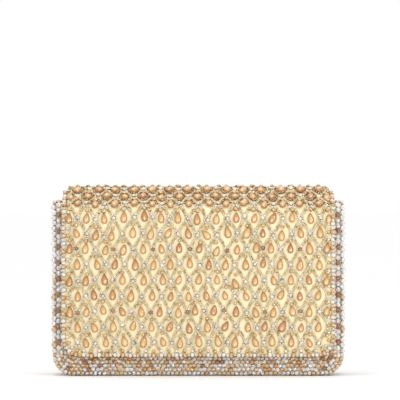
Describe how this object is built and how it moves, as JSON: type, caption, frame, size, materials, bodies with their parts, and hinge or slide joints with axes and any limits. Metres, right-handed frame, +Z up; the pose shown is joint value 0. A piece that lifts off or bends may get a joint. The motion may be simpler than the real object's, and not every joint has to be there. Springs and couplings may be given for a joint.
{
  "type": "evening bag",
  "caption": "Flap-over evening bag of cream satin: a shallow box covered with glass beads in a diamond lattice, with a beaded gusset and a sloping top.",
  "frame": {"origin": "centre of the base, on the surface that the bag stands on", "axes": "+X along the width, -Y out of the front with the flap, +Z up"},
  "size_m": [0.2156, 0.0494, 0.1409],
  "materials": {
    "satin": "satin",
    "lining": "satin",
    "board": "matte",
    "felt": "matte",
    "pearl_glass": "pearl",
    "amber_glass": "gloss",
    "gold_glass": "gloss",
    "seed_glass": "silver-lined gloss",
    "carpet_glass": "gloss",
    "stud_metal": "polished"
  },
  "bodies": {
    "pouch": {"back_cover": "satin", "back_board": "board", "back_lining": "lining", "back_fold_interlining": "felt", "front_cover": "satin", "front_board": "board", "front_lining": "lining", "mouth_binding": "satin", "left_gusset_cover": "satin", "right_gusset_cover": "satin", "base_gusset_cover": "satin", "left_gusset_interlining": "felt", "right_gusset_interlining": "felt", "base_board": "board", "left_gusset_lining": "lining", "right_gusset_lining": "lining", "base_lining": "lining", "slip_pocket": "lining", "slip_pocket_binding": "satin", "snap_socket": "stud_metal", "snap_socket_washer": "stud_metal", "left_gusset_beads": "carpet_glass", "right_gusset_beads": "carpet_glass", "base_beads": "carpet_glass", "front_border_beads": "carpet_glass", "back_drop_beads": "amber_glass", "back_round_beads": "gold_glass", "back_node_pearls": "pearl_glass", "back_bead_strings": "seed_glass", "back_edge_pearls": "pearl_glass", "back_edge_amber_beads": "amber_glass"},
    "spine": {"spine_cover": "satin", "spine_interlining": "felt", "spine_lining": "lining", "spine_drop_beads": "amber_glass", "spine_round_beads": "gold_glass", "spine_node_pearls": "pearl_glass", "spine_bead_strings": "seed_glass", "spine_edge_pearls": "pearl_glass", "spine_edge_amber_beads": "amber_glass"},
    "flap": {"flap_cover": "satin", "flap_board": "board", "flap_lining": "lining", "flap_fold_interlining": "felt", "snap_stud": "stud_metal", "snap_stud_washer": "stud_metal", "flap_drop_beads": "amber_glass", "flap_round_beads": "gold_glass", "flap_node_pearls": "pearl_glass", "flap_accent_beads": "gold_glass", "flap_bead_strings": "seed_glass", "flap_edge_pearls": "pearl_glass", "flap_edge_amber_beads": "amber_glass"}
  },
  "joints": [
    {"name": "spine_fold", "type": "hinge", "parent": "pouch", "child": "spine", "pos_m": [0, 0.01077, 0.13935], "axis": [-1, 0, 0], "range_deg": [0, 105]},
    {"name": "flap_fold", "type": "hinge", "parent": "spine", "child": "flap", "pos_m": [0, -0.01905, 0.1216], "axis": [-1, 0, 0], "range_deg": [0, 60]}
  ]
}
